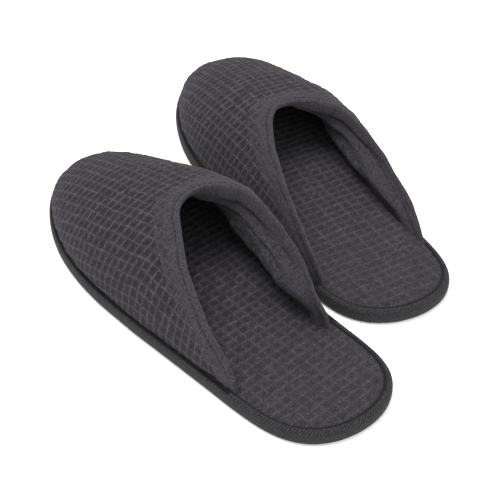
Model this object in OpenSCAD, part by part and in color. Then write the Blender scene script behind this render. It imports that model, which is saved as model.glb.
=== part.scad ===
// Pair of closed-toe, backless spa slippers in waffle cloth.
// Frame: millimetres, +Z up, toes toward +Y, origin at the middle of the pair
// on the floor. The left slipper is on -X and the right one is on +X.
// Both slippers are cut from the same straight last, so one set of rules draws both.

/* [Sole] */
// Overall length of one slipper, over the edge binding
sole_len = 280; // [240:1:310]
// Half width of the sole at mid length
half_mid = 49.5; // [46:0.5:52]
// How much wider the forefoot is than the heel
half_taper = 14.4; // [12:0.2:17]
// Squareness of the toe end of the outline
toe_round = 2.33; // [2:0.01:2.6]
// Squareness of the heel end of the outline
heel_round = 1.95; // [1.8:0.01:2.2]
// Bow of the centre line, toe and heel toward +X
bow = 6.5; // [0:0.5:9]
// Thickness of the outsole
outsole_t = 4; // [3.5:0.5:6]
// Thickness of the foam midsole
midsole_t = 2.5; // [1.5:0.5:4]
// Thickness of the sponge pad under the insole cloth
pad_t = 2; // [1.5:0.5:4]
// Thickness of the insole cloth
cover_t = 0.6; // [0.5:0.1:1]
// Depth of the tread grooves
tread_depth = 1; // [0.5:0.1:1.5]

/* [Edge binding] */
// Thickness of the binding tape
tape_t = 0.7; // [0.5:0.1:0.9]
// Width of tape turned in over the top of the sole
lip_w = 5.5; // [4.5:0.5:7]

/* [Upper] */
// Height of the crown above the sole, as far back as it still rises
crown_h = 48; // [42:1:54]
// Distance behind the toe at which the crown stops rising
crown_run = 135; // [125:1:150]
// Fullness of the side walls, 2 is an ellipse
wall_full = 2.1; // [2:0.05:2.6]
// Inset of the upper from the sole's edge
upper_inset = 2.5; // [2:0.1:3]
// Thickness of the waffle cloth
waffle_t = 1.2; // [0.8:0.1:1.4]
// Thickness of the sponge between cloth and lining
sponge_t = 1.8; // [1.2:0.1:2.2]
// Thickness of the brushed lining
lining_t = 0.8; // [0.5:0.1:0.9]
// Width of the turned hem around the opening
hem_w = 12; // [9:1:14]

/* [Pair] */
// How far the right slipper stands ahead of the left one
stagger = 49; // [0:1:60]
// Distance between the two slippers' centres across the pair
spread = 107; // [106:1:130]
// Angle that each slipper's toe turns outward
toe_out = 6.2; // [4:0.1:8]

/* [Hidden] */

gap = 0.1;                 // clearance between laid-up layers
glue = 0.05;               // thin clearance between the flat layers of the sole
half_len = sole_len / 2;
flap_z = 0.35;             // underside of the binding's lower flap
rim_z = flap_z + tape_t + glue;   // underside of the outsole's rebated rim
z_mid = outsole_t + glue;
z_pad = z_mid + midsole_t + glue;
z_cov = z_pad + pad_t + glue;
z_lip = z_cov + cover_t + glue;   // underside of the binding's lip
z_top = z_lip + tape_t;           // top of the binding's lip
thread_t = 0.2;                   // height that a row of stitches stands proud
z_up = z_top + thread_t + glue;   // the upper stands on the lip, over its stitches
// terms of the outline's width, from heel to toe
end_fill = 14;
ball_swell = 33;
end_square = 8;
twist = 5;                 // S-bend of the centre line

function sgn_pow(v, e) = sign(v) * pow(abs(v), e);
// half width of the last at Y from -1 (heel) to 1 (toe)
function half_w(Y) =
    half_mid + half_taper * Y + end_fill * Y * Y - ball_swell * pow(Y, 3)
    + end_square * pow(Y, 4);
// sideways shift of the centre line
function centre(Y) = bow * (Y * Y - 0.4) - twist * (pow(Y, 3) - Y);

// one point of the sole outline, moved inward by ins
function edge_pt(a, ins) =
    let (n = sin(a) > 0 ? toe_round : heel_round,
         Y = sgn_pow(sin(a), 2 / n), X = sgn_pow(cos(a), 2 / n))
    [X * (half_w(Y) - ins) + centre(Y), Y * (half_len - ins)];
edge_n = 96;
function edge(ins) = [for (i = [0 : edge_n - 1]) edge_pt((i + 0.5) * 360 / edge_n, ins)];

module slab(ins, z0, t) translate([0, 0, z0]) linear_extrude(t) polygon(edge(ins));
module ring(ins, wide, z0, t)
    translate([0, 0, z0]) linear_extrude(t) difference() {
        polygon(edge(ins));
        polygon(edge(ins + wide));
    }

// ---- sole layers ----
sole_ins = tape_t + gap;
module outsole() color([0.16, 0.16, 0.17]) difference() {
    slab(sole_ins, 0, outsole_t);
    // rebate that takes the binding's lower flap
    difference() {
        slab(-2, -1, 1 + rim_z);
        slab(lip_w + 1.2, -2, 4);
    }
    // tread grooves under the forefoot and under the heel; the waist stays smooth
    for (y = [24 : 9 : 105]) tread_groove(y);
    for (y = [-117 : 9 : -72]) tread_groove(y);
}
module tread_groove(y) translate([-half_len / 2, y, -1]) cube([half_len, 2, 1 + tread_depth]);
module midsole() color([0.20, 0.20, 0.21]) slab(sole_ins, z_mid, midsole_t);
module insole_pad() color([0.30, 0.30, 0.31]) slab(sole_ins, z_pad, pad_t);
module insole_cover() color([0.30, 0.29, 0.31]) slab(sole_ins, z_cov, cover_t);

// tape folded round the sole's edge: lower flap, side and upper lip
module edge_binding() color([0.21, 0.21, 0.22]) union() {
    ring(0.5, lip_w, flap_z, tape_t);
    ring(0, tape_t, flap_z + tape_t, z_lip - flap_z - tape_t);
    ring(0.5, lip_w - 0.5, z_lip, tape_t);
}
// lockstitch along the inner edge of the lip
module binding_stitch() color([0.15, 0.15, 0.16]) ring(lip_w - 1.1, 0.6, z_top, thread_t);

// ---- upper ----
// The upper is a family of nested surfaces. A point is set by th, the angle round
// the arch (0 on the +X side, 90 on the crown), by y, and by d, the depth
// below the outer face. The cloth of an empty slipper settles in its own way, so
// side lists how one slipper's upper stands, in the order of these names.
THROAT = 0;                // y of the opening's crown
END_R = 1;                 // y where the upper ends on +X, and on -X
END_L = 2;
RISE_R = 3;                // how late the opening's edge climbs on +X, and on -X
RISE_L = 4;
LEAN = 5;                  // shift of the crown toward +X, and how sharply it sets in
LEAN_POW = 6;
LIFT = 7;                  // how far the crown stands above crown_h at the back
FULL = 8;                  // fullness added to the +X wall
TUCK = 9;                  // how far the +X wall leans in toward its end
FOOT = 10;                 // how far each end is sewn inside the line of the foot
BELLY = 11;                // swell of the +X wall
CURL_X = 12;               // how far the +X edge rolls inward, and down
CURL_Z = 13;
PAD = 14;                  // extra padding inside the +X wall
DROOP = 15;                // how far the padding hangs down on the +X side of the crown
left_side = [19.6, -77, -79, 2.15, 1.75, 14, 2.2, 7, 0.65, 8, 2.5, 2.5, 0.9, 0.5, 7.5, 6];
right_side = [23, -94, -98, 1.05, 1.7, 6.2, 1, -3, 0.25, -0.5, 1.5, 4.2, -1.5, 1, 8.5, 5.5];
crown_ease = 1.4;          // how quickly the toe box rises
tuck_y = -10;              // where a leaning wall starts to tuck in, and over what length
tuck_len = 62;
belly_y = 80;              // where the wall starts to swell, and over what length
belly_len = 60;
full_y = 90;               // where the wall starts to fill out, and over what length
full_len = 80;
foot_len = 30;             // length over which the upper's ends are sewn further in
curl_w = 35;               // reach of the rolled edge, along the slipper
pad_in = 18;               // length over which the padding swells, behind the opening's edge
pad_len = 110;             // reach of the padding, and the length over which it dies away
pad_out = 40;
droop_len = 50;            // reach of the hanging padding behind the opening's edge
function toe_y(d) = half_len - upper_inset - d;
function smooth(v) = let (c = min(1, max(0, v))) c * c * (3 - 2 * c);
function half_at(y, ins) =
    let (Y = min(1, max(-1, y / (half_len - ins))), n = Y > 0 ? toe_round : heel_round)
    max(0, half_w(Y) - ins) * pow(max(0, 1 - pow(abs(Y), n)), 1 / n);
function run(y, d) = min(1, max(0, (toe_y(d) - y) / crown_run));
function on_right(th, v) = cos(th) > 0 ? v : 0;
function end_y(th, side) = cos(th) > 0 ? side[END_R] : side[END_L];
// where the opening's edge crosses the angle th
function mouth_y(th, side) =
    let (e = end_y(th, side), rise = cos(th) > 0 ? side[RISE_R] : side[RISE_L])
    e + (side[THROAT] - e) * pow(max(0, sin(th)), rise);
function skin(th, y, d, side) =
    let (t = run(y, d), c = cos(th), s = max(0, sin(th)),
         a = half_at(y, upper_inset + d),
         h = (crown_h + side[LIFT] * t * t - d) * sqrt(max(0, 1 - pow(1 - t, crown_ease))),
         n = wall_full + on_right(th, side[FULL]) * smooth((full_y - y) / full_len),
         X = sgn_pow(c, 2 / n), Z = pow(s, 2 / n),
         tuck = on_right(th, side[TUCK] * smooth((tuck_y - y) / tuck_len) * c * (0.5 + 0.5 * smooth(3 * s))),
         foot = side[FOOT] * smooth((end_y(th, side) + foot_len - y) / foot_len) * X,
         belly = on_right(th, side[BELLY] * sin(2 * th)) * smooth((belly_y - y) / belly_len),
         near = smooth(1 - (y - mouth_y(th, side)) / curl_w),
         curl = on_right(th, near * smooth(3 * c) * smooth(4 * s)),
         e = y - mouth_y(th, side),
         deep = smooth((d - waffle_t) / 2),
         pad = on_right(th, side[PAD] * deep * smooth(2.5 * c) * smooth(3 * s)
             * smooth(e / pad_in) * smooth((pad_len - e) / pad_out)),
         droop = on_right(th, side[DROOP] * deep * smooth(3.2 * c) * smooth((s - 0.45) / 0.3)
             * smooth((droop_len - e) / 35)))
    [centre(y / half_len) + a * X + side[LEAN] * pow(s, side[LEAN_POW]) * t * t
        - tuck - foot + (belly - pad) * c - side[CURL_X] * curl - 0.35 * droop,
     y,
     z_up + h * Z + (belly - 0.4 * pad) * s - side[CURL_Z] * curl - 0.94 * droop];
// keeps a band the same width where the edge runs aslant
function slant(th, side) =
    let (t0 = max(0.5, th - 1), t1 = min(179.5, th + 1),
         p = skin(t0, mouth_y(t0, side), 0, side), q = skin(t1, mouth_y(t1, side), 0, side),
         v = q - p)
    min(2.6, norm(v) / max(0.01, norm([v[0], v[2]])));
// a point e in front of the opening's edge, measured square to it
function near_edge(th, e, d, side) =
    skin(th, mouth_y(th, side) + e * slant(th, side), d, side);

nu = 15;                   // steps from the toe back to the hem
nth = 28;                  // steps round the arch
function th_at(j) = 180 * j / nth;
// row k of the grid: the last two rows follow the opening's edge
function row_pt(k, j, d, side) =
    let (th = th_at(j), back = mouth_y(th, side) + hem_w * slant(th, side))
    k > nu ? near_edge(th, k == nu + 1 ? hem_w / 2 : 0, d, side)
           : skin(th, toe_y(d) - (toe_y(d) - back) * pow(k / nu, 1.5), d, side);
nk = nu + 2;

// closed shell between the depths d0 and d1
module shell(d0, d1, side) {
    pts = concat(
        [skin(90, toe_y(d0), d0, side), skin(90, toe_y(d1), d1, side)],
        [for (j = [0 : nth], k = [1 : nk]) row_pt(k, j, d0, side)],
        [for (j = [0 : nth], k = [1 : nk]) row_pt(k, j, d1, side)]);
    in0 = (nth + 1) * nk;
    function o(k, j) = k == 0 ? 0 : 2 + j * nk + k - 1;
    function i(k, j) = k == 0 ? 1 : 2 + in0 + j * nk + k - 1;
    tris = concat(
        [for (j = [0 : nth - 1]) [o(0, j), o(1, j + 1), o(1, j)]],
        [for (j = [0 : nth - 1]) [i(0, j), i(1, j), i(1, j + 1)]],
        [for (j = [0 : nth - 1], k = [1 : nk - 1]) each
            [[o(k, j), o(k, j + 1), o(k + 1, j)], [o(k + 1, j), o(k, j + 1), o(k + 1, j + 1)]]],
        [for (j = [0 : nth - 1], k = [1 : nk - 1]) each
            [[i(k, j), i(k + 1, j), i(k, j + 1)], [i(k + 1, j), i(k + 1, j + 1), i(k, j + 1)]]],
        // the cut edge round the opening
        [for (j = [0 : nth - 1]) each
            [[o(nk, j), o(nk, j + 1), i(nk, j)], [i(nk, j), o(nk, j + 1), i(nk, j + 1)]]],
        // the two foot edges that stand on the lip
        [for (k = [0 : nk - 1]) each
            [[o(k, 0), o(k + 1, 0), i(k, 0)], [i(k, 0), o(k + 1, 0), i(k + 1, 0)]]],
        [for (k = [0 : nk - 1]) each
            [[o(k, nth), i(k, nth), o(k + 1, nth)], [i(k, nth), i(k + 1, nth), o(k + 1, nth)]]]);
    polyhedron(points = pts, faces = tris, convexity = 8);
}
// strip swept round the opening; outer and inner are matching paths of [e, d]
module edge_strip(outer, inner, side) {
    m = len(outer);
    ringp = concat(outer, [for (k = [m - 1 : -1 : 0]) inner[k]]);
    r = 2 * m;
    pts = [for (j = [0 : nth], k = [0 : r - 1])
        near_edge(th_at(j), ringp[k][0], ringp[k][1], side)];
    function v(k, j) = j * r + (k + r) % r;
    tris = concat(
        [for (j = [0 : nth - 1], k = [0 : r - 1]) each
            [[v(k, j), v(k + 1, j), v(k, j + 1)], [v(k + 1, j), v(k + 1, j + 1), v(k, j + 1)]]],
        [for (k = [0 : m - 2]) each
            [[v(k, 0), v(r - 1 - k, 0), v(k + 1, 0)],
             [v(k + 1, 0), v(r - 1 - k, 0), v(r - 2 - k, 0)]]],
        [for (k = [0 : m - 2]) each
            [[v(k, nth), v(k + 1, nth), v(r - 1 - k, nth)],
             [v(k + 1, nth), v(r - 2 - k, nth), v(r - 1 - k, nth)]]]);
    polyhedron(points = pts, faces = tris, convexity = 8);
}
d_sponge = waffle_t + gap;
d_lining = d_sponge + sponge_t + gap;
d_inner = d_lining + lining_t;
module upper_waffle(s) color([0.30, 0.29, 0.31]) shell(0, waffle_t, s);
module upper_sponge(s) color([0.36, 0.36, 0.36]) shell(d_sponge, d_sponge + sponge_t, s);
module upper_lining(s) color([0.24, 0.24, 0.25]) shell(d_lining, d_inner, s);
// turned hem: outer flap, rounded edge and inner flap in one strip
hem_t = 0.7;
hem_gap = 0.3;             // room for the cloth under the hem
hem_mid = 3.6;             // where the outer flap bends to follow the upper
hem_out = -hem_gap - hem_t;
hem_in = d_inner + hem_gap + 0.25;
seam_e = 2.2;              // distance of the topstitching from the opening's edge
seam_out = hem_out - 0.35; // underside of the topstitching, clear of the hem's bulges
module rim_hem(s) color([0.27, 0.26, 0.28]) edge_strip(
    [[hem_w, hem_out], [hem_mid, hem_out], [0, hem_out],
     [-1.1, 0.2], [-1.6, d_inner / 2], [-1.1, d_inner - 0.2], [0, hem_in + hem_t],
     [hem_w / 2, hem_in + hem_t], [hem_w, hem_in + hem_t]],
    [[hem_w, -hem_gap], [hem_mid, -hem_gap], [-0.1, -hem_gap],
     [-0.3, 0.5], [-0.4, d_inner / 2], [-0.3, d_inner - 0.5], [-0.1, hem_in],
     [hem_w / 2, hem_in], [hem_w, hem_in]], s);
// single row of topstitching on the hem's outer flap
module rim_stitch(s) color([0.14, 0.14, 0.15]) edge_strip(
    [[seam_e + 0.3, seam_out - thread_t], [seam_e - 0.3, seam_out - thread_t]],
    [[seam_e + 0.3, seam_out], [seam_e - 0.3, seam_out]], s);

// ---- the pair ----
function turned(p, a) = [p[0] * cos(a) - p[1] * sin(a), p[0] * sin(a) + p[1] * cos(a)];
box_pts = concat([for (p = edge(0)) turned(p, toe_out)],
    [for (p = edge(0)) turned(p, -toe_out) + [spread, stagger]]);
mid_x = (max([for (p = box_pts) p[0]]) + min([for (p = box_pts) p[0]])) / 2;
mid_y = (max([for (p = box_pts) p[1]]) + min([for (p = box_pts) p[1]])) / 2;
module at_left() translate([-mid_x, -mid_y, 0]) rotate([0, 0, toe_out]) children();
module at_right()
    translate([spread - mid_x, stagger - mid_y, 0]) rotate([0, 0, -toe_out]) children();

at_left() outsole();  // left_outsole
at_left() midsole();  // left_midsole
at_left() insole_pad();  // left_insole_pad
at_left() insole_cover();  // left_insole_cover
at_left() edge_binding();  // left_edge_binding
at_left() binding_stitch();  // left_binding_stitch
at_left() upper_lining(left_side);  // left_upper_lining
at_left() upper_sponge(left_side);  // left_upper_sponge
at_left() upper_waffle(left_side);  // left_upper_waffle
at_left() rim_hem(left_side);  // left_rim_hem
at_left() rim_stitch(left_side);  // left_rim_stitch
at_right() outsole();  // right_outsole
at_right() midsole();  // right_midsole
at_right() insole_pad();  // right_insole_pad
at_right() insole_cover();  // right_insole_cover
at_right() edge_binding();  // right_edge_binding
at_right() binding_stitch();  // right_binding_stitch
at_right() upper_lining(right_side);  // right_upper_lining
at_right() upper_sponge(right_side);  // right_upper_sponge
at_right() upper_waffle(right_side);  // right_upper_waffle
at_right() rim_hem(right_side);  // right_rim_hem
at_right() rim_stitch(right_side);  // right_rim_stitch
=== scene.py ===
"""Looks for a pair of waffle-cloth spa slippers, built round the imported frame.

Lengths in the shape rules are in millimetres, in each slipper's own frame: toe
toward +Y, floor at Z = 0. put() turns them into metres in the row frame.
"""
import math

import bpy
import numpy as np
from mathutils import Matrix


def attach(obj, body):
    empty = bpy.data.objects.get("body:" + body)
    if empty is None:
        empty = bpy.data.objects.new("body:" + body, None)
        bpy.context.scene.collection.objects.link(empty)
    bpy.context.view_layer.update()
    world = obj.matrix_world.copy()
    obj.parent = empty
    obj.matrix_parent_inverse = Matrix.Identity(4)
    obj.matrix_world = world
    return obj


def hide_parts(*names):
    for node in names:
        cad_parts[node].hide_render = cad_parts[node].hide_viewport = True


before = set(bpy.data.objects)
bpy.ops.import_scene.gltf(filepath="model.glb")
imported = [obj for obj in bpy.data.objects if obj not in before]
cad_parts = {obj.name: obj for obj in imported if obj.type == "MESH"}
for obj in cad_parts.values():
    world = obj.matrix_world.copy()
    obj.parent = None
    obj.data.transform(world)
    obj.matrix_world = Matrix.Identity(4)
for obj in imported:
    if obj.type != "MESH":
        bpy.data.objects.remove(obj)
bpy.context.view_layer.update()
MM = 0.001

# ---------------------------------------------------------------- driving sizes
HALF_LEN = 140.0          # half the sole's length
HALF_MID, HALF_TAPER = 49.5, 14.4
END_FILL, BALL_SWELL, END_SQUARE = 14.0, 33.0, 8.0
TOE_ROUND, HEEL_ROUND = 2.33, 1.95
BOW, TWIST = 6.5, 5.0     # bend and S-bend of the centre line
CROWN_H, CROWN_RUN, CROWN_EASE = 48.0, 135.0, 1.4
WALL_FULL = 2.1
UPPER_INSET = 2.5
TUCK_Y, TUCK_LEN = -10.0, 62.0
BELLY_Y, BELLY_LEN = 80.0, 60.0
FULL_Y, FULL_LEN = 90.0, 80.0
FOOT_LEN, CURL_W = 30.0, 35.0
PAD_IN, PAD_LEN, PAD_OUT, DROOP_LEN = 18.0, 110.0, 40.0, 50.0
Z_UP = 10.25               # foot of the upper
Z_INSOLE = 9.25            # top of the insole cloth in the CAD model
SPREAD, STAGGER, TOE_OUT = 107.0, 49.0, 6.2
CELL_X, CELL_Y = 6.3, 5.5  # waffle cell across and along the slipper
STITCH = 3.2               # length of one stitch and its gap

# How each empty slipper's upper has settled; pairs are for +X and -X, or for X and Z.
SIDES = {
    "left": dict(throat=19.6, ends=(-77, -79), rise=(2.15, 1.75), lean=(14, 2.2), lift=7, full=0.65,
                 tuck=8, foot=2.5, belly=2.5, curl=(0.9, 0.5), pad=7.5, droop=6,
                 turn=TOE_OUT, seed=3),
    "right": dict(throat=23, ends=(-94, -98), rise=(1.05, 1.7), lean=(6.2, 1), lift=-3, full=0.25,
                  tuck=-0.5, foot=1.5, belly=4.2, curl=(-1.5, 1), pad=8.5, droop=5.5,
                  turn=-TOE_OUT, seed=8),
}


# ---------------------------------------------------------------- shape rules
def sgn_pow(v, e):
    return np.sign(v) * np.abs(v) ** e


def ease(v):
    c = np.clip(v, 0.0, 1.0)
    return c * c * (3 - 2 * c)


def half_width(Y):
    return HALF_MID + HALF_TAPER * Y + END_FILL * Y**2 - BALL_SWELL * Y**3 + END_SQUARE * Y**4


def centre_x(Y):
    return BOW * (Y * Y - 0.4) - TWIST * (Y**3 - Y)


def half_at(y, inset):
    """Half width of the outline, moved in by inset, at y."""
    Y = np.clip(y / (HALF_LEN - inset), -1, 1)
    n = np.where(Y > 0, TOE_ROUND, HEEL_ROUND)
    return np.maximum(0, half_width(Y) - inset) * np.maximum(0, 1 - np.abs(Y) ** n) ** (1 / n)


def edge_points(a, inset):
    """Outline points at the angles a, moved in by inset."""
    n = np.where(np.sin(a) > 0, TOE_ROUND, HEEL_ROUND)
    Y = sgn_pow(np.sin(a), 2 / n)
    X = sgn_pow(np.cos(a), 2 / n)
    return np.stack([X * (half_width(Y) - inset) + centre_x(Y), Y * (HALF_LEN - inset)], -1)


def toe_y(d):
    return HALF_LEN - UPPER_INSET - d


def end_y(th, side):
    return np.where(np.cos(th) > 0, side["ends"][0], side["ends"][1])


def mouth_y(th, side):
    """Where the opening's edge crosses the angle th."""
    rise = np.where(np.cos(th) > 0, side["rise"][0], side["rise"][1])
    end = end_y(th, side)
    return end + (side["throat"] - end) * np.maximum(0, np.sin(th)) ** rise


def skin(th, y, d, side):
    """Point of the upper at angle th round the arch, at y, at depth d under its face."""
    t = np.clip((toe_y(d) - y) / CROWN_RUN, 0, 1)
    c, s = np.cos(th), np.maximum(0, np.sin(th))
    right = c > 0
    half = half_at(y, UPPER_INSET + d)
    high = (CROWN_H + side["lift"] * t * t - d) * np.sqrt(np.maximum(0, 1 - (1 - t) ** CROWN_EASE))
    n = WALL_FULL + right * side["full"] * ease((FULL_Y - y) / FULL_LEN)
    across, up = sgn_pow(c, 2 / n), s ** (2 / n)
    tuck = right * side["tuck"] * ease((TUCK_Y - y) / TUCK_LEN) * c * (0.5 + 0.5 * ease(3 * s))
    foot = side["foot"] * ease((end_y(th, side) + FOOT_LEN - y) / FOOT_LEN) * across
    belly = right * side["belly"] * np.sin(2 * th) * ease((BELLY_Y - y) / BELLY_LEN)
    e = y - mouth_y(th, side)
    curl = right * ease(1 - e / CURL_W) * ease(3 * c) * ease(4 * s)
    deep = right * ease((np.asarray(d) - 1.2) / 2)
    pad = side["pad"] * deep * ease(2.5 * c) * ease(3 * s)
    pad = pad * ease(e / PAD_IN) * ease((PAD_LEN - e) / PAD_OUT)
    droop = side["droop"] * deep * ease(3.2 * c) * ease((s - 0.45) / 0.3)
    droop = droop * ease((DROOP_LEN - e) / 35)
    lean = side["lean"][0] * s ** side["lean"][1] * t * t
    x = centre_x(y / HALF_LEN) + half * across + lean - tuck - foot + (belly - pad) * c - 0.35 * droop
    z = Z_UP + high * up + (belly - 0.4 * pad) * s - 0.94 * droop
    return np.stack([x - side["curl"][0] * curl, y + 0 * th, z - side["curl"][1] * curl], -1)


def slant(th, side):
    """Keeps a band the same width where the opening's edge runs aslant."""
    lo, hi = np.clip(th - 0.017, 0.009, 3.13), np.clip(th + 0.017, 0.012, 3.133)
    v = skin(hi, mouth_y(hi, side), 0, side) - skin(lo, mouth_y(lo, side), 0, side)
    across = np.sqrt(v[..., 0] ** 2 + v[..., 2] ** 2)
    return np.minimum(2.6, np.linalg.norm(v, axis=-1) / np.maximum(0.01, across))


def turned(p, degrees):
    a = math.radians(degrees)
    q = np.array(p, float)
    q[..., 0] = math.cos(a) * p[..., 0] - math.sin(a) * p[..., 1]
    q[..., 1] = math.sin(a) * p[..., 0] + math.cos(a) * p[..., 1]
    return q


def slipper_centres():
    """The two slippers' centres, with the origin at the middle of the pair's box."""
    around = (np.arange(96) + 0.5) * math.tau / 96
    left = turned(edge_points(around, 0), TOE_OUT)
    right = turned(edge_points(around, 0), -TOE_OUT) + [SPREAD, STAGGER]
    both = np.concatenate([left, right])
    middle = (both.max(0) + both.min(0)) / 2
    return {"left": -middle, "right": np.array([SPREAD, STAGGER]) - middle}


CENTRES = slipper_centres()


def put(points, name):
    """Slipper millimetres to row-frame metres."""
    p = turned(np.asarray(points, float), SIDES[name]["turn"])
    p[..., 0] += CENTRES[name][0]
    p[..., 1] += CENTRES[name][1]
    return p * MM


# ---------------------------------------------------------------- camera and stage
CAM_AZIMUTH, CAM_HEIGHT, CAM_FAR = -34.5, 42.7, 0.723
CAM_AIM = (-0.008, -0.009, 0.0)
FOCAL_PER_FRAME = 2.286    # focal length over the frame's width


def make_camera():
    data = bpy.data.cameras.new("camera")
    data.sensor_width = 36.0
    data.lens = FOCAL_PER_FRAME * data.sensor_width
    data.clip_start = 0.01
    obj = bpy.data.objects.new("camera", data)
    bpy.context.scene.collection.objects.link(obj)
    a, e = math.radians(CAM_AZIMUTH), math.radians(CAM_HEIGHT)
    back = np.array([math.sin(a) * math.cos(e), -math.cos(a) * math.cos(e), math.sin(e)])
    obj.location = [CAM_AIM[i] + CAM_FAR * back[i] for i in range(3)]
    obj.rotation_euler = (math.pi / 2 - e, 0, a)
    bpy.context.scene.camera = obj


make_camera()


def make_stage():
    """Pale floor and soft studio light."""
    bpy.ops.mesh.primitive_plane_add(size=6.0, location=(0, 0, 0))
    floor = bpy.context.object
    floor.name = "floor"
    mat = bpy.data.materials.new("floor")
    mat.use_nodes = True
    bsdf = mat.node_tree.nodes["Principled BSDF"]
    bsdf.inputs["Base Color"].default_value = (0.95, 0.95, 0.95, 1)
    bsdf.inputs["Roughness"].default_value = 1.0
    bsdf.inputs["Specular IOR Level"].default_value = 0.0
    bsdf.inputs["Emission Color"].default_value = (1, 1, 1, 1)
    bsdf.inputs["Emission Strength"].default_value = 0.15
    floor.data.materials.append(mat)
    world = bpy.data.worlds.new("studio")
    bpy.context.scene.world = world
    world.use_nodes = True
    world.node_tree.nodes["Background"].inputs["Color"].default_value = (1, 1, 1, 1)
    world.node_tree.nodes["Background"].inputs["Strength"].default_value = 1.0
    area_light("key", (-0.20, 0.25, 1.45), 0.9, 24)
    area_light("fill", (0.15, -1.2, 0.65), 1.2, 7)
    bpy.context.scene.view_settings.view_transform = "Standard"


def area_light(name, place, size, power):
    data = bpy.data.lights.new(name, "AREA")
    data.size, data.energy = size, power
    obj = bpy.data.objects.new(name, data)
    bpy.context.scene.collection.objects.link(obj)
    obj.location = place
    away = np.array(place)
    flat = math.hypot(away[0], away[1])
    obj.rotation_euler = (math.atan2(flat, away[2]), 0, math.atan2(away[0], -away[1]))


make_stage()


# ---------------------------------------------------------------- mesh helpers
def grid_faces(rows, cols, wrap_rows=False, wrap_cols=False):
    """Quads of a grid of points stored row by row; wrap closes the grid on itself."""
    r = np.arange(rows if wrap_rows else rows - 1)[:, None]
    c = np.arange(cols if wrap_cols else cols - 1)[None, :]
    r2, c2 = (r + 1) % rows, (c + 1) % cols
    quads = np.stack([r * cols + c, r * cols + c2, r2 * cols + c2, r2 * cols + c], -1)
    return quads.reshape(-1, 4).tolist()


def weld(points, quads):
    """Which points to keep where some coincide, and the faces between those."""
    _, keep, back = np.unique(np.round(points, 4), axis=0, return_index=True, return_inverse=True)
    quads = back.reshape(-1)[np.array(quads)].tolist()
    faces = {}
    for q in quads:
        face = [v for i, v in enumerate(q) if v != q[i - 1]]
        if len(set(face)) == len(face) >= 3:
            faces.setdefault(frozenset(face), []).append(face)
    # a cell folded flat onto its neighbour has the same corners, and both go
    faces = [same[0] for same in faces.values() if len(same) == 1]
    used = sorted({v for face in faces for v in face})
    place = {v: i for i, v in enumerate(used)}
    return keep[used], [[place[v] for v in face] for face in faces]


def corner_table(faces):
    """Each face as four point numbers; a triangle repeats its last one."""
    return np.array([f if len(f) == 4 else f + f[-1:] for f in faces])


def vertex_normals(points, faces):
    q = corner_table(faces)
    a, b, c, d = (points[q[:, k]] for k in range(4))
    normal = np.cross(c - a, d - b)
    out = np.zeros_like(points)
    for k in range(4):
        np.add.at(out, q[:, k], normal)
    return out / np.maximum(1e-12, np.linalg.norm(out, axis=1, keepdims=True))


def closed_sheet(outer, inner, faces):
    """A solid between two matching skins: the faces, the same turned round, and the rim."""
    n = len(outer)
    edges = {(f[i - 1], v) for f in faces for i, v in enumerate(f)}
    rim = sorted((a, b) for a, b in edges if (b, a) not in edges)
    back = [[v + n for v in reversed(f)] for f in faces]
    sides = [[b, a, a + n, b + n] for a, b in rim]
    return np.concatenate([outer, inner]), faces + back + sides


def swept(rings, wrap=False):
    """Closed skin over rings of profile points, with flat ends where it doesn't wrap."""
    n, m = rings.shape[:2]
    faces = grid_faces(n, m, wrap_rows=wrap, wrap_cols=True)
    if not wrap:
        faces.append(list(range(m)))
        faces.append([(n - 1) * m + k for k in reversed(range(m))])
    return rings.reshape(-1, 3), faces


def facing_out(points, faces):
    """Turns every face of a closed mesh round if they face inward."""
    tris = np.array([[f[0], f[k], f[k + 1]] for f in faces for k in range(1, len(f) - 1)])
    a, b, c = (points[tris[:, k]] for k in range(3))
    if (a * np.cross(b, c)).sum() < 0:
        return [f[::-1] for f in faces]
    return faces


def add_piece(name, slipper, points, faces, node, material, numbers=None):
    """Makes one visible piece that rides on its slipper and stands for a CAD node."""
    mesh = bpy.data.meshes.new(f"{slipper}_{name}")
    mesh.from_pydata(put(points, slipper).tolist(), [], facing_out(points, faces))
    mesh.polygons.foreach_set("use_smooth", np.ones(len(mesh.polygons), bool))
    for key, values in (numbers or {}).items():
        layer = mesh.attributes.new(key, "FLOAT", "POINT")
        layer.data.foreach_set("value", np.asarray(values, np.float32).ravel())
    mesh.update()
    obj = bpy.data.objects.new(f"{slipper}_{name}", mesh)
    bpy.context.scene.collection.objects.link(obj)
    mesh.materials.append(material)
    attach(obj, f"{slipper}_slipper")
    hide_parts(f"{slipper}_{node}")
    return obj


def soft_waves(u, v, seed, span, waves=7):
    """Slow seeded undulation, about -1 to 1, with waves about span long."""
    rng = np.random.default_rng(seed)
    total = 0
    for _ in range(waves):
        turn, phase = rng.uniform(0, math.tau, 2)
        k = math.tau / (span * rng.uniform(0.6, 1.8))
        total = total + np.sin(k * (math.cos(turn) * u + math.sin(turn) * v) + phase)
    return total / math.sqrt(waves * 2)


def lookup(table, a, b):
    """Value of a table between its entries, at the fractional row a and column b."""
    a = np.clip(a, 0, table.shape[0] - 1.001)
    b = np.clip(b, 0, table.shape[1] - 1.001)
    i, j = a.astype(int), b.astype(int)
    f, g = a - i, b - j
    if table.ndim == 3:
        f, g = f[..., None], g[..., None]
    low = table[i, j] * (1 - g) + table[i, j + 1] * g
    high = table[i + 1, j] * (1 - g) + table[i + 1, j + 1] * g
    return low * (1 - f) + high * f


def evenly(points, step, closed=False):
    """Where to stop along a line of points so that the stops are about step apart."""
    if closed:
        points = np.concatenate([points, points[:1]])
    run = np.concatenate([[0], np.cumsum(np.linalg.norm(np.diff(points, axis=0), axis=1))])
    count = max(2, round(run[-1] / step))
    stops = np.arange(count) / count if closed else np.linspace(0, 1, count + 1)
    return stops * run[-1], run


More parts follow.
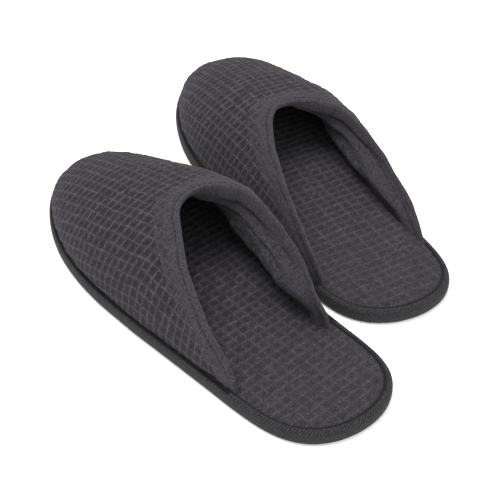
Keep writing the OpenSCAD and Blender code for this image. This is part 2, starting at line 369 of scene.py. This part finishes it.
# ---------------------------------------------------------------- how the soft upper hangs
SAG = {}                   # simulated movement of each upper, by fraction of run and angle
SIM_ROWS, SIM_COLS, SIM_FRAMES = 32, 44, 20
SAG_CAP = 1.6              # furthest that the simulation may move the upper
SIM_DEPTH = 2.0            # depth of the upper's middle layer, which is the one simulated
SIM_PULL = 40.0            # stiffness of the padded upper against stretching
SIM_BEND = 100.0           # and against bending
SIM_GRAVITY = 0.05         # share of gravity that reaches the padded upper
PRESS = 0.42               # how much thinner the layers are at the topstitching


def toeward(th, y, side):
    """0 at the toe, 1 at the opening's edge."""
    front = toe_y(0)
    return (front - y) / np.maximum(1.0, front - mouth_y(th, side))


def stray(th, y, d, slipper):
    """How the soft upper strays from its pattern."""
    side = SIDES[slipper]
    up = np.maximum(0, np.sin(th))
    swell = 0.45 * soft_waves(60 * th, y, side["seed"] + 40, 55.0) * ease(up * 2.2)
    ruck = 0.16 * soft_waves(60 * th, y, side["seed"] + 50, 13.0) * ease(up * 3)
    out = np.stack([np.cos(th), 0.1 + 0 * th, up], -1)
    move = out * (swell + ruck)[..., None]
    foot = 0.3 + 0.65 * ease((d - 2.5) / 1.0)
    move[..., 2] -= foot * np.exp(-((up / 0.06) ** 2))
    if slipper in SAG:
        table = SAG[slipper]
        rows, cols = table.shape[0] - 1, table.shape[1] - 1
        move = move + lookup(table, toeward(th, y, side) * rows, th / math.pi * cols)
    return move


def settle(slipper):
    """Lets the upper's middle layer hang as cloth from the sole, and tells how far it moves."""
    side = SIDES[slipper]
    run = np.linspace(0, 1, SIM_ROWS)[1:, None]
    th = np.linspace(0, math.pi, SIM_COLS)[None, :]
    y = toe_y(SIM_DEPTH) - run * (toe_y(SIM_DEPTH) - mouth_y(th, side))
    start = skin(th + 0 * run, y, SIM_DEPTH, side).reshape(-1, 3) * MM
    mesh = bpy.data.meshes.new("hanging")
    mesh.from_pydata(start.tolist(), [], grid_faces(SIM_ROWS - 1, SIM_COLS))
    obj = bpy.data.objects.new("hanging", mesh)
    scene = bpy.context.scene
    scene.collection.objects.link(obj)
    at = np.arange(len(start))
    sewn = (at % SIM_COLS == 0) | (at % SIM_COLS == SIM_COLS - 1) | (at < 2 * SIM_COLS)
    obj.vertex_groups.new(name="sewn").add(at[sewn].tolist(), 1.0, "REPLACE")
    setting = obj.modifiers.new("cloth", "CLOTH").settings
    setting.vertex_group_mass = "sewn"
    setting.quality = 6
    setting.mass = 0.3
    setting.tension_stiffness = setting.compression_stiffness = SIM_PULL
    setting.shear_stiffness = SIM_PULL / 2
    setting.bending_model = "ANGULAR"
    setting.bending_stiffness = SIM_BEND
    setting.effector_weights.gravity = SIM_GRAVITY
    for step in range(1, SIM_FRAMES + 1):
        scene.frame_set(step)
    hung = obj.evaluated_get(bpy.context.evaluated_depsgraph_get())
    points = np.empty(len(start) * 3)
    hung.data.vertices.foreach_get("co", points)
    scene.frame_set(1)
    bpy.data.objects.remove(obj)
    move = ((points.reshape(-1, 3) - start) / MM).reshape(SIM_ROWS - 1, SIM_COLS, 3)
    size = np.linalg.norm(move, axis=-1, keepdims=True)
    move = move * SAG_CAP * np.tanh(size / SAG_CAP) / np.maximum(1e-9, size)
    return np.concatenate([np.zeros((1, SIM_COLS, 3)), move])


def cloth(th, y, d, slipper):
    """Point of the real upper, whose layers are pressed thin at the opening's edge."""
    side = SIDES[slipper]
    e = (y - mouth_y(th, side)) / slant(th, side)
    return skin(th, y, d * (1 - PRESS * ease((7 - e) / 6)), side) + stray(th, y, d, slipper)


def edge_cloth(th, e, d, slipper):
    """Point e in front of the opening's edge, at the depth d."""
    side = SIDES[slipper]
    return cloth(th, mouth_y(th, side) + e * slant(th, side), d, slipper)


# ---------------------------------------------------------------- waffle cloth
SAMPLES = np.array([0.0, 0.1, 0.21, 0.5, 0.79, 0.9])   # where a cell is sampled
RELIEF = 0.75              # height of the waffle's ridges
RIDGE = 0.46               # half width of a ridge
SMOOTH_TONE = 0.62         # tone of the cloth where it is pressed flat
HEM_W, SEAM_E = 12.5, 2.3  # width of the hem, and its topstitching's distance from the edge


def cell_lines(low, high, pitch):
    """Grid lines from low to high that follow the ridges of a waffle."""
    cells = np.arange(math.floor(low / pitch), math.ceil(high / pitch) + 1)
    lines = ((cells[:, None] + SAMPLES[None, :]) * pitch).ravel()
    return lines[(lines > low) & (lines < high)]


def ridge_height(u, v, level, lengthwise=0.9):
    """Relief of the waffle, 0 in a pit and 1 on a crossing; level is the pit's slope."""
    fu = np.abs((u / CELL_X + 0.5) % 1 - 0.5)
    fv = np.abs((v / CELL_Y + 0.5) % 1 - 0.5)
    ru = np.exp(-((fu * CELL_X / RIDGE) ** 2))
    rv = np.exp(-((fv * CELL_Y / RIDGE) ** 2))
    line = 1 - (1 - lengthwise * ru) * (1 - rv)
    slope = np.maximum(lengthwise * (1 - 2 * fu), 1 - 2 * fv) ** 1.3
    return (1 - level) * line + level * slope


def cell_tone(u, v, seed):
    """A little difference in tone from cell to cell, -1 to 1."""
    cell = np.random.default_rng(seed).uniform(-1, 1, (97, 89))
    return cell[np.floor(u / CELL_X).astype(int) % 97, np.floor(v / CELL_Y).astype(int) % 89]


def pattern(slipper, steps=240):
    """Tables of the upper's pattern: stations, run along the crown, run round the arch."""
    side = SIDES[slipper]
    back = min(side["ends"]) - 4
    y = toe_y(0) - np.linspace(0, 1, steps) ** 2 * (toe_y(0) - back)
    th = np.linspace(0, math.pi, 361)
    arch = skin(th[None, :], y[:, None], 0, side)
    step = np.linalg.norm(np.diff(arch, axis=1), axis=2)
    across = np.concatenate([np.zeros((steps, 1)), np.cumsum(step, axis=1)], axis=1)
    across = across - across[:, 180:181]
    crown = arch[:, 180]
    along = np.concatenate([[0], np.cumsum(np.linalg.norm(np.diff(crown, axis=0), axis=1))])
    return y, along, th, across


PATTERNS = {slipper: pattern(slipper) for slipper in SIDES}


def pattern_place(th, y, slipper):
    """Distances across and along the cloth of a point of the upper."""
    y_steps, along, _, across = PATTERNS[slipper]
    row = np.interp(-y, -y_steps, np.arange(len(y_steps)))
    u = lookup(across, row, th / math.pi * 360)
    return u, np.interp(-y, -y_steps, along)


def upper_grid(slipper, cut):
    """Angles and stations of a grid laid along the waffle, trimmed cut short of the edge."""
    side = SIDES[slipper]
    y_steps, along, th_steps, across = PATTERNS[slipper]
    end = np.interp(-(min(side["ends"]) + cut), -y_steps, along)
    rows = np.concatenate([[0.0, 0.15], cell_lines(0.3, end, CELL_Y), [end]])
    reach = np.abs(across).max()
    cols = np.concatenate([[-reach - 1], cell_lines(-reach, reach, CELL_X), [reach + 1]])
    v, u = np.meshgrid(rows, cols, indexing="ij")
    seed = side["seed"]
    fade = ease(v / 8)
    v_off = v + fade * (0.55 * soft_waves(u, v, seed + 1, 38.0) + 0.26 * soft_waves(u, v, seed + 2, 8.0))
    u_off = u + 0.55 * soft_waves(u, v, seed + 3, 38.0) + 0.26 * soft_waves(u, v, seed + 4, 8.0)
    y = np.interp(v_off, along, y_steps)
    row = np.interp(v_off, along, np.arange(len(along)))
    fine = lookup(across, np.repeat(row[:, 40:41], 361, 1), np.tile(np.arange(361.0), (len(rows), 1)))
    th = np.stack([np.interp(u_off[i], fine[i], th_steps) for i in range(len(rows))])
    # past the opening's edge, the first point moves onto it and the rest of its line follows
    spare = y - (mouth_y(th, side) + cut * slant(th, side))
    for j in range(len(cols)):
        past = np.nonzero(spare[:, j] < 0)[0]
        if len(past) and past[0] > 0:
            i = past[0]
            f = spare[i - 1, j] / (spare[i - 1, j] - spare[i, j])
            th[i:, j] = th[i - 1, j] + f * (th[i, j] - th[i - 1, j])
            y[i:, j] = y[i - 1, j] + f * (y[i, j] - y[i - 1, j])
    to_foot = np.minimum(u - fine[:, :1], fine[:, -1:] - u)
    return th, y, u, v, to_foot


def make_upper_waffle(slipper):
    """Waffle cloth of the upper, with its ridges raised and its edges pressed flat."""
    side = SIDES[slipper]
    grids = upper_grid(slipper, 2.0)
    base = cloth(*grids[:2], 0.0, slipper).reshape(-1, 3)
    keep, faces = weld(base, grid_faces(*grids[0].shape))
    base = base[keep]
    th, y, u, v, to_foot = (a.reshape(-1)[keep] for a in grids)
    under = cloth(th, y, 1.2, slipper)
    normal = vertex_normals(base, faces)
    edge = (y - mouth_y(th, side)) / slant(th, side)
    fade = ease((edge - 8.0) / 4.5) * ease(to_foot / 2.0)
    relief = ridge_height(u, v, 0.42)
    worn = (0.80 + 0.25 * soft_waves(u, v, side["seed"] + 20, 11.0)
            + 0.14 * soft_waves(u, v, side["seed"] + 22, 3.0))
    relief = relief * worn * (1 - 0.2 * cell_tone(u, v, side["seed"]) * (1 - relief))
    # the tone follows the relief: painted shade, dark in the pits and pale on the ridges, flat where the
    # edge is pressed smooth
    tone = SMOOTH_TONE + (relief - SMOOTH_TONE) * np.maximum(fade, 0.16)
    # painted shade along the upper's foot, where it meets the binding
    tone = tone - 0.9 * np.exp(-((to_foot / 1.7) ** 2))
    pinch = -0.9 * np.exp(-((to_foot / 1.5) ** 2))
    outer = base + normal * (RELIEF * np.maximum(fade, 0.1) * (relief - 0.4) + pinch)[:, None]
    points, faces = closed_sheet(outer, under, faces)
    return add_piece("upper_waffle_cloth", slipper, points, faces, "upper_waffle",
                     MATS["waffle"], {"tone": np.tile(tone, 2)})


def shell_between(slipper, d0, d1, cut, step):
    """Plain closed shell of the upper between two depths."""
    side = SIDES[slipper]
    fall = np.linspace(0, 1, round(200 / step)) ** 1.5
    th = np.linspace(0, math.pi, round(170 / step))
    th_grid = np.tile(th, (len(fall), 1))
    back = mouth_y(th, side) + cut * slant(th, side)
    skins = []
    for d in (d0, d1):
        y = toe_y(d) - fall[:, None] * (toe_y(d) - back[None, :])
        skins.append(cloth(th_grid, y, d, slipper).reshape(-1, 3))
    keep, faces = weld(skins[0], grid_faces(*th_grid.shape))
    place = th_grid.reshape(-1)[keep], y.reshape(-1)[keep]
    return skins[0][keep], skins[1][keep], faces, place


PLUMP = 3.2                # how far the lining's loft swells the +X wall inward


def make_upper_sponge(slipper):
    outer, inner, faces, _ = shell_between(slipper, 1.35, 3.0, 2.2, 2.0)
    points, faces = closed_sheet(outer, inner, faces)
    return add_piece("upper_sponge_pad", slipper, points, faces, "upper_sponge",
                     MATS["sponge"])


def make_upper_lining(slipper):
    """Brushed lining, plumped on the +X wall and a little rumpled on its free face."""
    outer, inner, faces, (th, y) = shell_between(slipper, 3.2, 4.0, 1.5, 1.1)
    normal = vertex_normals(inner, faces)
    seed = SIDES[slipper]["seed"]
    side = SIDES[slipper]
    past_hem = (y - mouth_y(th, side)) / slant(th, side) - HEM_W
    behind = ease((past_hem + 0.7) / 2.2)
    rumple = (0.45 * soft_waves(60 * th, y, seed + 60, 16.0)
              + 0.28 * soft_waves(60 * th, y, seed + 61, 5.0))
    plump = PLUMP * ease((past_hem + 0.5) / 9) * ease((95 - past_hem) / 45)
    plump = plump * ease(2.5 * np.cos(th)) * ease(3 * np.sin(th))
    rumple = rumple * ease(past_hem / 5) * ease(np.sin(th) * 4)
    inner = inner - normal * (behind * (0.5 + rumple) + plump)[:, None]
    points, faces = closed_sheet(outer, inner, faces)
    # ease(np.sin(th) * 7) is painted shade along the lining's foot, where it meets the insole; the waves
    # are random mottle in its tone
    tone = ease(np.sin(th) * 7) * (0.92 + 0.30 * soft_waves(60 * th, y, seed + 62, 7.0)
                                   + 0.25 * soft_waves(60 * th, y, seed + 63, 3.0))
    return add_piece("brushed_lining", slipper, points, faces, "upper_lining",
                     MATS["lining"], {"tone": np.tile(tone, 2)})


# ---------------------------------------------------------------- hem and its stitching
# the hem's skin from its outer flap, round the edge, to its inner flap: [from edge, depth]
HEM_OUTER = [[12.5, 0.30], [12.2, 0.05], [11.6, -0.05], [11.0, -0.10], [10.4, -0.14], [9.8, -0.18],
             [9.2, -0.22], [8.6, -0.25], [8.0, -0.28], [7.4, -0.31], [6.6, -0.34], [5.6, -0.36],
             [4.6, -0.36], [3.6, -0.30], [3.0, -0.18], [2.6, -0.04], [SEAM_E, 0.02], [2.0, -0.06],
             [1.7, -0.30], [1.2, -0.60], [0.6, -0.78], [0.0, -0.76]]
HEM_INNER = [[0.0, 4.80], [0.6, 4.92], [1.2, 4.82], [1.7, 4.50], [2.0, 4.28], [SEAM_E, 4.20],
             [2.6, 4.26], [3.0, 4.40], [3.6, 4.58], [4.6, 4.68], [6.0, 4.70], [8.0, 4.70],
             [9.5, 4.60], [11.0, 4.50], [12.0, 4.38], [12.5, 4.15]]
ROLL_OUT, ROLL_MID = 1.2, 2.0     # how far the rolled edge stands out, and its middle depth


def hem_profile():
    """Closed profile of the turned hem, and how much of each point puckers at the stitches."""
    turn = np.linspace(0, math.pi, 11)[1:-1]
    roll = np.stack([-ROLL_OUT * np.sin(turn), ROLL_MID - 2.78 * np.cos(turn)], -1)
    lining_turn = np.linspace(math.pi, 0, 7)
    inside = np.stack([-0.5 * np.sin(lining_turn), ROLL_MID - 2.0 * np.cos(lining_turn)], -1)
    profile = np.concatenate([HEM_OUTER, roll, HEM_INNER, [[12.3, 4.0]], inside, [[12.3, 0.06]]])
    near = np.abs(profile[:, 0] - SEAM_E)
    pucker = np.exp(-((near / 1.1) ** 2)) * (1 - 0.5 * np.exp(-((near / 0.3) ** 2)))
    pucker[len(HEM_OUTER) + 9 + len(HEM_INNER):] = 0
    return profile, pucker


def rim_angles(slipper, step, e=0.0, d=0.0):
    """Angles a step apart along a line e from the opening's edge, and the distance to each."""
    th = np.linspace(0, math.pi, 2401)
    line = edge_cloth(th, np.full_like(th, e), d, slipper)
    stops, run = evenly(line, step)
    return np.interp(stops, run, th), stops


def make_hem(slipper):
    """Turned hem: outer flap, rolled edge and inner flap, puckered at the topstitching."""
    profile, pucker = hem_profile()
    th, run = rim_angles(slipper, 0.8)
    outward = np.where(profile[:, 1] < ROLL_MID, -1.0, 1.0)
    beat = np.cos(run / STITCH * math.tau)[:, None]
    seed = SIDES[slipper]["seed"]
    puff = soft_waves(run[:, None], 2.2 * profile[None, :, 0], seed + 70, 17.0)
    roll = np.exp(-((profile[:, 0] / 4.0) ** 2))
    skinned = (np.arange(len(profile)) < len(HEM_OUTER) + 9 + len(HEM_INNER)) * 1.0
    lift = 0.13 * beat * pucker[None, :] + 0.22 * puff * skinned[None, :] * ease(1.4 - profile[:, 0] / 9)
    side = SIDES[slipper]
    angles = np.repeat(th[:, None], len(profile), axis=1)
    reach = np.repeat(profile[None, :, 0], len(th), axis=0)
    u, v = pattern_place(angles, mouth_y(angles, side) + reach * slant(angles, side), slipper)
    relief = ridge_height(u, v, 0.42)
    woven = skinned * ease((profile[:, 0] - 5.0) / 5.0) * (outward < 0)
    lift = lift + woven * 0.55 * (relief - 0.45)
    d = profile[None, :, 1] + outward[None, :] * lift
    e = np.repeat(profile[None, :, 0], len(th), axis=0)
    e = e + 0.35 * roll[None, :] * soft_waves(run, 0 * run, seed + 71, 24.0)[:, None]
    rings = edge_cloth(angles, e, d, slipper)
    points, faces = swept(rings)
    # the tone follows the relief, most on the woven outer flap: painted shade, dark in the pits and pale
    # on the ridges
    tone = SMOOTH_TONE + (0.12 * skinned + 0.7 * woven) * (relief - SMOOTH_TONE)
    # painted shade along the topstitching's pressed groove
    tone = tone - 0.35 * np.exp(-(((profile[:, 0] - SEAM_E) / 0.5) ** 2)) * skinned
    return add_piece("turned_hem", slipper, points, faces, "rim_hem", MATS["hem"],
                     {"tone": tone})


def stitch_row(line, up, radius, sink, closed=False):
    """A row of separate stitches along a line of points, each diving into the cloth at its ends."""
    stops, run = evenly(line, STITCH, closed)
    if closed:
        line = np.concatenate([line, line[:1]])
        up = np.concatenate([up, up[:1]])
    at = np.linspace(-0.40, 0.40, 6)
    swell = np.array([0.45, 0.9, 1.0, 1.0, 0.9, 0.45])
    dive = np.array([1.0, 0.25, 0.0, 0.0, 0.25, 1.0])
    middles = stops[1:-1]
    where = middles[:, None] + at[None, :] * STITCH
    centre = np.stack([np.interp(where, run, line[:, k]) for k in range(3)], -1)
    normal = np.stack([np.interp(where, run, up[:, k]) for k in range(3)], -1)
    normal /= np.linalg.norm(normal, axis=-1, keepdims=True)
    along = np.gradient(centre, axis=1)
    along /= np.linalg.norm(along, axis=-1, keepdims=True)
    across = np.cross(along, normal)
    turn = np.arange(8) * math.tau / 8
    ring = (normal[:, :, None] * np.cos(turn)[:, None] + across[:, :, None] * np.sin(turn)[:, None])
    points = centre[:, :, None] + ring * (radius * swell)[None, :, None, None]
    points = points - normal[:, :, None] * (sink * dive)[None, :, None, None]
    one = grid_faces(6, 8, wrap_cols=True) + [list(range(8)), [47 - k for k in range(8)]]
    faces = [[v + 48 * s for v in f] for s in range(len(middles)) for f in one]
    return points.reshape(-1, 3), faces


def make_topstitch(slipper):
    """Topstitching of the hem, seen on its outer flap and on its inner flap."""
    points, faces = np.zeros((0, 3)), []
    for depth, side_out in ((-0.22, -1.0), (4.42, 1.0)):
        th, _ = rim_angles(slipper, 0.7, SEAM_E, depth)
        th = th[(th > 0.03) & (th < math.pi - 0.03)]
        line = edge_cloth(th, np.full_like(th, SEAM_E), depth, slipper)
        above = edge_cloth(th, np.full_like(th, SEAM_E), depth + side_out, slipper)
        more, its_faces = stitch_row(line, above - line, 0.27, 0.35)
        faces += [[v + len(points) for v in f] for f in its_faces]
        points = np.concatenate([points, more])
    return add_piece("hem_topstitch", slipper, points, faces, "rim_stitch", MATS["thread"])


# ---------------------------------------------------------------- sole
INSOLE_EDGE = 2.3          # inset of the insole cloth's hidden edge
RIB_PITCH, RIB_SLOPE = 2.0, 1.0    # twill ribs of the tape, and their slant
GROOVE_IN, GROOVE_W = 4.75, 0.75   # inset and half width of the painted shade in the lip's groove
LOCK_IN, LOCK_Z = 4.7, 9.72        # inset and height of the lockstitch in that groove
# the tape's skin from the lip's free edge, over the side, to the lower flap: [inset, height]
TAPE_SKIN = [[5.55, 9.32], [5.58, 9.55], [5.40, 9.72], [5.05, 9.74], [4.70, 9.60], [4.30, 9.78],
             [3.80, 9.96], [3.20, 10.06], [2.60, 10.02], [2.00, 9.90], [1.45, 9.66], [0.95, 9.30],
             [0.55, 8.80], [0.26, 8.15], [0.10, 7.35], [0.02, 6.45], [0.0, 5.5], [0.02, 4.55],
             [0.10, 3.60], [0.24, 2.70], [0.48, 1.90], [0.85, 1.20], [1.35, 0.72], [2.00, 0.44],
             [3.00, 0.35], [4.50, 0.35], [5.70, 0.36], [5.98, 0.55], [5.98, 0.85], [5.80, 1.04]]
TAPE_BACK = [[4.50, 1.06], [1.90, 1.06], [1.10, 1.50], [0.80, 2.40], [0.74, 4.0], [0.74, 7.6],
             [0.95, 8.55], [1.50, 9.08], [2.40, 9.28], [4.20, 9.29]]


def outline_angles(step, inset=0.0):
    """Angles of points a step apart round the sole's outline, and the distance to each."""
    a = np.linspace(0, math.tau, 7201)[:-1]
    stops, run = evenly(edge_points(a, inset), step, closed=True)
    return np.interp(stops, run, np.append(a, math.tau)), stops


def make_binding(slipper):
    """Twill tape folded round the sole's edge: slanting ribs, with painted shade in the lip's groove and
    where the upper covers it.
    """
    a, run = outline_angles(0.32)
    profile = np.array(TAPE_SKIN + TAPE_BACK)
    ends = np.concatenate([profile, profile[:1]])
    lengths = np.linalg.norm(np.diff(ends, axis=0), axis=1)
    down = np.concatenate([[0], np.cumsum(lengths)[:-1]])
    facing = np.roll(profile, 1, axis=0) - np.roll(profile, -1, axis=0)
    facing = np.stack([facing[:, 1], -facing[:, 0]], -1)
    facing /= np.linalg.norm(facing, axis=1, keepdims=True)
    skinned = np.arange(len(profile)) < len(TAPE_SKIN)
    skinned = skinned * np.clip(np.minimum(down, down[len(TAPE_SKIN) - 1] - down) / 0.8, 0, 1)
    count = round(run[-1] / RIB_PITCH)
    seed = SIDES[slipper]["seed"]
    phase = count * run[:, None] / run[-1] + RIB_SLOPE * down[None, :] / RIB_PITCH
    phase = phase + 0.25 * soft_waves(run[:, None], down[None, :], seed + 80, 30.0)
    rib = 0.5 + 0.5 * np.cos(math.tau * phase)
    height = (0.24 * (rib - 0.6) + 0.10 * soft_waves(run[:, None], 0 * down[None, :], seed + 81, 22.0))
    height = height * skinned[None, :]
    angles = np.repeat(a[:, None], len(profile), axis=1)
    flat = edge_points(angles, profile[None, :, 0] + 0 * angles)
    away = edge_points(angles, -3.0 + 0 * angles) - edge_points(angles, 0 * angles)
    away /= np.linalg.norm(away, axis=-1, keepdims=True)
    flat = flat - away * (facing[:, 0] * height)[..., None]
    z = profile[None, :, 1] + facing[None, :, 1] * height
    rings = np.concatenate([flat, z[..., None]], -1)
    points, faces = swept(rings, wrap=True)
    inset, top = profile[None, :, 0], profile[None, :, 1] > 9.0
    # painted shade in the lip's groove, darkening the tone there
    groove = np.exp(-(((inset - GROOVE_IN) / GROOVE_W) ** 2)) * top
    mid = edge_points(a, 0)
    ends = np.where(mid[:, 0] > centre_x(mid[:, 1] / HALF_LEN), *SIDES[slipper]["ends"])
    # painted shade on the tape's top where the upper covers it
    upper_shade = ease((mid[:, 1] - ends + 2) / 4)[:, None] * ease((inset - 0.9) / 0.8) * top
    tone = (0.12 + 0.8 * rib) * skinned * (1 - 0.9 * groove) * (1 - 0.9 * upper_shade)
    return add_piece("twill_binding", slipper, points, faces, "edge_binding",
                     MATS["tape"], {"tone": tone})


def make_binding_stitch(slipper):
    """Lockstitch sunk in the binding's lip."""
    a, _ = outline_angles(0.8, LOCK_IN)
    line = np.concatenate([edge_points(a, LOCK_IN), np.full((len(a), 1), LOCK_Z)], -1)
    up = np.tile([0.0, 0.0, 1.0], (len(a), 1))
    points, faces = stitch_row(line, up, 0.22, 0.3, closed=True)
    return add_piece("binding_lockstitch", slipper, points, faces, "binding_stitch",
                     MATS["thread"])


def inset_of(x, y):
    """Roughly how far a point lies inside the sole's outline."""
    low, high = np.zeros_like(x), np.full_like(x, 46.0)
    for _ in range(14):
        inset = (low + high) / 2
        inside = np.abs(x - centre_x(y / HALF_LEN)) <= half_at(y, inset)
        inside &= np.abs(y) <= HALF_LEN - inset
        low, high = np.where(inside, inset, low), np.where(inside, high, inset)
    return low


def insole_rise(x, y, slipper):
    """Height of the insole cloth over its flat bed: puffed, and pulled down at the binding."""
    inset = inset_of(x, y)
    seed = SIDES[slipper]["seed"]
    puff = 1.0 * ease((inset - 4.6) / 6.5)
    return puff + 0.28 * soft_waves(x, y, seed + 90, 60.0) * ease((inset - 6) / 10), inset


def make_insole(slipper):
    """Waffle cloth laid over the sole, its grid straight along the slipper."""
    seed = SIDES[slipper]["seed"]
    front = HALF_LEN - INSOLE_EDGE - 0.01
    rows = np.concatenate([[-front], cell_lines(-front + 0.1, front - 0.1, CELL_Y), [front]])
    reach = 70.0
    cols = np.concatenate([[-reach], cell_lines(-reach, reach, CELL_X), [reach]])
    v, u = np.meshgrid(rows, cols, indexing="ij")
    wander = 0.45 * soft_waves(u, v, seed + 5, 42.0) + 0.24 * soft_waves(u, v, seed + 6, 8.0)
    y = np.clip(v + wander * ease((front - np.abs(v)) / 6), -front, front)
    x = u + 0.45 * soft_waves(u, v, seed + 7, 42.0) + 0.24 * soft_waves(u, v, seed + 8, 8.0)
    half = half_at(y, INSOLE_EDGE)
    middle = centre_x(y / HALF_LEN)
    x = np.clip(x + middle, middle - half, middle + half)
    flat = np.stack([x, y, 0 * x], -1).reshape(-1, 3)
    keep, faces = weld(flat, grid_faces(*x.shape))
    x, y, u, v = (g.reshape(-1)[keep] for g in (x, y, u, v))
    rise, inset = insole_rise(x, y, slipper)
    relief = ridge_height(u, v, 0.72, 0.85)
    relief = relief * (0.86 + 0.30 * soft_waves(u, v, seed + 21, 8.0))
    relief = relief * (1 - 0.5 * cell_tone(u, v, seed + 9) * (1 - relief))
    fade = ease((inset - 5.3) / 3.0)
    worn = 0.45 + 0.55 * ease((y + 105) / 90)
    top = Z_INSOLE + rise + fade * worn * 0.9 * (relief - 0.6)
    outer = np.stack([x, y, top], -1)
    under = np.stack([x, y, np.minimum(top - 0.35, Z_INSOLE - 0.6 + rise)], -1)
    points, faces = closed_sheet(outer, under, faces)
    # the tone follows the relief: painted shade, dark in the pits and pale on the ridges, fainter towards
    # the worn heel and gone at the edge
    tone = 0.55 + (relief - 0.55) * fade * (0.4 + 0.6 * worn)
    # painted shade: a dark line along the insole's edge beside the binding
    tone = tone - 0.5 * np.exp(-(((inset - 5.1) / 0.9) ** 2))
    return add_piece("insole_waffle_cloth", slipper, points, faces, "insole_cover",
                     MATS["insole"], {"tone": np.tile(tone, 2)})


def make_insole_pad(slipper):
    """Sponge under the insole cloth, rounded over at its edge."""
    a, _ = outline_angles(2.0, 1.0)
    levels = [[1.2, 6.6], [0.85, 6.9], [0.85, 7.6], [1.2, 8.2], [2.0, 8.55], [3.5, 8.6],
              [6.0, 8.6], [9.0, 8.62], [14.0, 8.62]]
    rings = []
    for inset, z in levels:
        rings.append(np.concatenate([edge_points(a, inset), np.full((len(a), 1), z)], -1))
    rings = np.stack(rings, 1)
    n, m = rings.shape[:2]
    faces = grid_faces(n, m, wrap_rows=True)
    faces.append([k * m + m - 1 for k in range(n)])
    faces.append([k * m for k in reversed(range(n))])
    return add_piece("insole_sponge_pad", slipper, rings.reshape(-1, 3), faces, "insole_pad",
                     MATS["sponge"])


# ---------------------------------------------------------------- materials
def cloth_material(name, low, high, mottle=1.0, grain=0.5, lift=0.4, rough=0.95, sheen=0.05,
                   uneven=0.35):
    """Cloth coloured from low to high by its tone attribute, dyed unevenly, with a fuzzy face. On the
    waffle cloths the tone follows the relief as painted shade, dark in the hollows and pale on the
    ridges.

    mottle and grain are the sizes, in millimetres, of the dye's patches and of the nap."""
    mat = bpy.data.materials.new(name)
    mat.use_nodes = True
    nodes, links = mat.node_tree.nodes, mat.node_tree.links
    bsdf = nodes["Principled BSDF"]
    bsdf.inputs["Roughness"].default_value = rough
    bsdf.inputs["Specular IOR Level"].default_value = 0.1
    bsdf.inputs["Sheen Weight"].default_value = sheen
    bsdf.inputs["Sheen Roughness"].default_value = 0.6
    place = nodes.new("ShaderNodeTexCoord")
    patches = noise_node(nodes, links, place, 1 / (mottle * MM), 4.0)
    nap = noise_node(nodes, links, place, 1 / (grain * MM), 2.0)
    tone = nodes.new("ShaderNodeAttribute")
    tone.attribute_name = "tone"
    # low is the colour at tone 0, where the tone paints shade into pits, seams and grooves; high is the
    # colour at tone 1
    ramp = nodes.new("ShaderNodeValToRGB")
    ramp.color_ramp.elements[0].position = 0.02
    ramp.color_ramp.elements[0].color = (*low, 1)
    ramp.color_ramp.elements[1].position = 0.98
    ramp.color_ramp.elements[1].color = (*high, 1)
    links.new(tone.outputs["Fac"], ramp.inputs["Fac"])
    shade = nodes.new("ShaderNodeMapRange")
    shade.inputs["From Min"].default_value = 0.3
    shade.inputs["From Max"].default_value = 0.7
    shade.inputs["To Min"].default_value = 1 - uneven
    shade.inputs["To Max"].default_value = 1 + uneven
    links.new(patches.outputs["Fac"], shade.inputs["Value"])
    tint = nodes.new("ShaderNodeMix")
    tint.data_type = "RGBA"
    tint.blend_type = "MULTIPLY"
    tint.inputs["Factor"].default_value = 1.0
    links.new(ramp.outputs["Color"], tint.inputs["A"])
    links.new(shade.outputs["Result"], tint.inputs["B"])
    links.new(tint.outputs["Result"], bsdf.inputs["Base Color"])
    bump = nodes.new("ShaderNodeBump")
    bump.inputs["Strength"].default_value = lift
    bump.inputs["Distance"].default_value = 0.4 * MM
    links.new(nap.outputs["Fac"], bump.inputs["Height"])
    links.new(bump.outputs["Normal"], bsdf.inputs["Normal"])
    return mat


def noise_node(nodes, links, place, scale, detail):
    noise = nodes.new("ShaderNodeTexNoise")
    noise.inputs["Scale"].default_value = scale
    noise.inputs["Detail"].default_value = detail
    links.new(place.outputs["Object"], noise.inputs["Vector"])
    return noise


MATS = {
    "waffle": cloth_material("waffle_cloth", (0.0100, 0.0088, 0.0110), (0.0505, 0.0455, 0.0550), 1.0, 0.6,
                             uneven=0.7),
    "insole": cloth_material("insole_cloth", (0.0115, 0.0104, 0.0122), (0.042, 0.0385, 0.0442), 1.0, 0.6,
                             uneven=0.6),
    "hem": cloth_material("hem_cloth", (0.0115, 0.0105, 0.0125), (0.043, 0.040, 0.046), 1.1, 0.6, 0.6,
                          uneven=0.55),
    "lining": cloth_material("brushed_lining", (0.003, 0.003, 0.003), (0.029, 0.0272, 0.0306), 1.6, 0.9,
                             1.0, 1.0, 0.05, 0.8),
    "tape": cloth_material("twill_tape", (0.0020, 0.0021, 0.0023), (0.036, 0.0358, 0.038), 1.2, 0.5,
                           uneven=0.5),
    "thread": cloth_material("thread", (0.008, 0.0075, 0.0085), (0.008, 0.0075, 0.0085), 1.0, 0.2,
                             0.2, 0.7),
    "sponge": cloth_material("sponge", (0.030, 0.030, 0.031), (0.030, 0.030, 0.031), 1.5, 0.5),
    "rubber": cloth_material("sole_rubber", (0.016, 0.016, 0.017), (0.016, 0.016, 0.017), 2.5, 0.35,
                             0.35, 0.75, 0.0, 0.4),
    "foam": cloth_material("eva_foam", (0.020, 0.020, 0.021), (0.020, 0.020, 0.021), 1.2, 0.4,
                           0.2, 0.8, 0.0),
}

for slipper in SIDES:
    SAG[slipper] = settle(slipper)
    waffle_cloth = make_upper_waffle(slipper)
    make_upper_sponge(slipper)
    lining = make_upper_lining(slipper)
    hem = make_hem(slipper)
    topstitch = make_topstitch(slipper)
    tape = make_binding(slipper)
    lockstitch = make_binding_stitch(slipper)
    insole = make_insole(slipper)
    insole_pad = make_insole_pad(slipper)
for name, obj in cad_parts.items():
    obj.data.materials.clear()
    obj.data.materials.append(MATS["rubber" if name.endswith("outsole") else "foam"])
